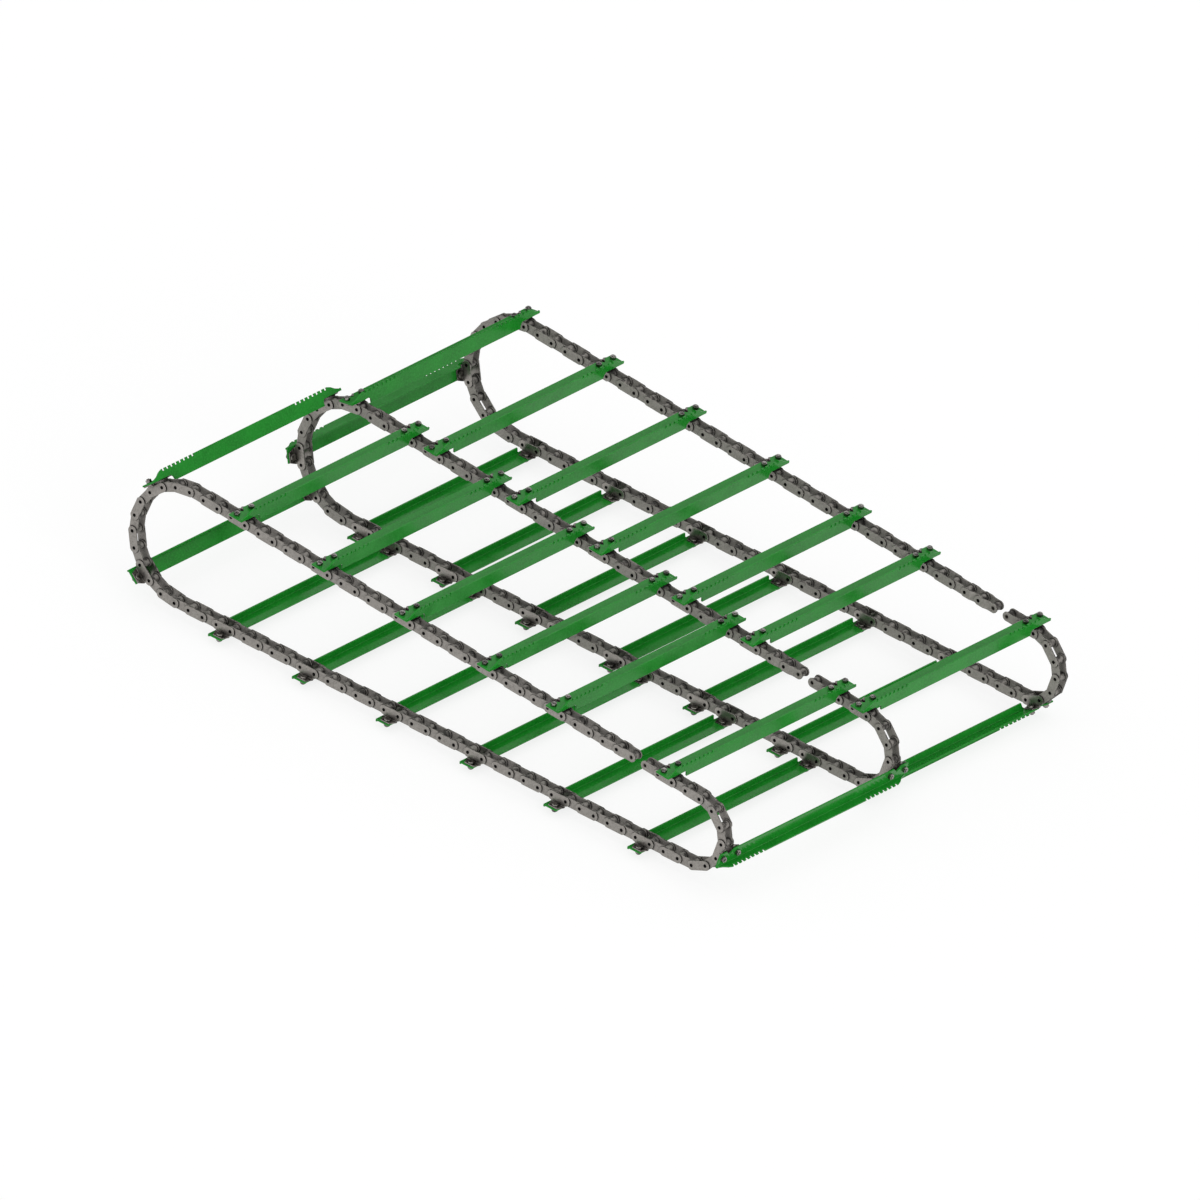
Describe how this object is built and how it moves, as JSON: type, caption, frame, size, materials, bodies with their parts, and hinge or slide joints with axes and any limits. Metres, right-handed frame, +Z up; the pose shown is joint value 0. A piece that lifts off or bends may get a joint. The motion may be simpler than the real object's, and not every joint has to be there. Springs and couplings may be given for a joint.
{
  "type": "feederhouse conveyor chain",
  "caption": "Slatted feeder conveyor: roller chain strands tied by staggered toothed T slats, laid as an open loop round two wraps.",
  "frame": {"origin": "on the rear sprocket's axis, in the middle of the centre strand", "axes": "+X along the level lower run towards the front wrap, +Y across the strands, +Z up"},
  "size_m": [1.8168, 1.275, 0.3689],
  "materials": {
    "chain_steel": "satin",
    "roller_steel": "satin",
    "pin_steel": "satin",
    "bush_steel": "satin",
    "slat_paint": "satin",
    "fastener_steel": "satin"
  },
  "bodies": {
    "centre_lead_link": {"centre_lead_link_bushes": "bush_steel", "centre_lead_link_inner_plates": "chain_steel", "centre_lead_link_rollers": "roller_steel"},
    "centre_tail_link": {"centre_tail_link_bushes": "bush_steel", "centre_tail_link_offset_plates": "chain_steel", "centre_tail_link_pins": "pin_steel", "centre_tail_link_rollers": "roller_steel"},
    "far_lead_link": {"far_lead_link_bushes": "bush_steel", "far_lead_link_inner_plates": "chain_steel", "far_lead_link_rollers": "roller_steel"},
    "far_tail_link": {"far_tail_link_bushes": "bush_steel", "far_tail_link_offset_plates": "chain_steel", "far_tail_link_pins": "pin_steel", "far_tail_link_rollers": "roller_steel"},
    "lead_flap": {"lead_flap_attachment_plates": "chain_steel", "lead_flap_inner_plates": "chain_steel", "lead_flap_outer_plates": "chain_steel", "lead_flap_pins": "pin_steel", "lead_flap_rollers": "roller_steel", "lead_flap_slat_bolts": "fastener_steel", "lead_flap_slat_nuts": "fastener_steel", "lead_flap_slats": "slat_paint"},
    "loop": {"loop_attachment_plates": "chain_steel", "loop_bushes": "bush_steel", "loop_inner_plates": "chain_steel", "loop_outer_plates": "chain_steel", "loop_pins": "pin_steel", "loop_rollers": "roller_steel", "loop_slat_bolts": "fastener_steel", "loop_slat_nuts": "fastener_steel", "loop_slats": "slat_paint"},
    "near_lead_link": {"near_lead_link_bushes": "bush_steel", "near_lead_link_inner_plates": "chain_steel", "near_lead_link_rollers": "roller_steel"},
    "near_tail_link": {"near_tail_link_bushes": "bush_steel", "near_tail_link_offset_plates": "chain_steel", "near_tail_link_pins": "pin_steel", "near_tail_link_rollers": "roller_steel"},
    "tail_flap": {"tail_flap_attachment_plates": "chain_steel", "tail_flap_bushes": "bush_steel", "tail_flap_inner_plates": "chain_steel", "tail_flap_outer_plates": "chain_steel", "tail_flap_pins": "pin_steel", "tail_flap_rollers": "roller_steel", "tail_flap_slat_bolts": "fastener_steel", "tail_flap_slat_nuts": "fastener_steel", "tail_flap_slats": "slat_paint"},
    "tail_tip": {"tail_tip_attachment_plates": "chain_steel", "tail_tip_bushes": "bush_steel", "tail_tip_inner_plates": "chain_steel", "tail_tip_offset_plates": "chain_steel", "tail_tip_outer_plates": "chain_steel", "tail_tip_rollers": "roller_steel", "tail_tip_slat_bolts": "fastener_steel", "tail_tip_slat_nuts": "fastener_steel", "tail_tip_slats": "slat_paint"}
  },
  "joints": [
    {"name": "tail_flap_hinge", "type": "hinge", "parent": "loop", "child": "tail_flap", "pos_m": [0.82639, 0, 0.08165], "axis": [0, -1, 0], "range_deg": [-6, 60]},
    {"name": "tail_tip_hinge", "type": "hinge", "parent": "tail_flap", "child": "tail_tip", "pos_m": [0.9915, 0, 0.06882], "axis": [0, -1, 0], "range_deg": [-6, 30]},
    {"name": "lead_flap_hinge", "type": "hinge", "parent": "loop", "child": "lead_flap", "pos_m": [1.52807, 0, 0.02707], "axis": [0, 1, 0], "range_deg": [-8, 45]},
    {"name": "near_tail_link_hinge", "type": "hinge", "parent": "tail_tip", "child": "near_tail_link", "pos_m": [1.28042, -0.6, 0.04635], "axis": [0, -1, 0], "range_deg": [-40, 40]},
    {"name": "near_lead_link_hinge", "type": "hinge", "parent": "lead_flap", "child": "near_lead_link", "pos_m": [1.40425, -0.6, 0.03673], "axis": [0, 1, 0], "range_deg": [-40, 40]},
    {"name": "centre_tail_link_hinge", "type": "hinge", "parent": "tail_tip", "child": "centre_tail_link", "pos_m": [1.28042, 0, 0.04635], "axis": [0, -1, 0], "range_deg": [-40, 40]},
    {"name": "centre_lead_link_hinge", "type": "hinge", "parent": "lead_flap", "child": "centre_lead_link", "pos_m": [1.40425, 0, 0.03673], "axis": [0, 1, 0], "range_deg": [-40, 40]},
    {"name": "far_tail_link_hinge", "type": "hinge", "parent": "tail_tip", "child": "far_tail_link", "pos_m": [1.36298, 0.6, 0.03994], "axis": [0, -1, 0], "range_deg": [-40, 40]},
    {"name": "far_lead_link_hinge", "type": "hinge", "parent": "lead_flap", "child": "far_lead_link", "pos_m": [1.4868, 0.6, 0.03031], "axis": [0, 1, 0], "range_deg": [-40, 40]}
  ]
}
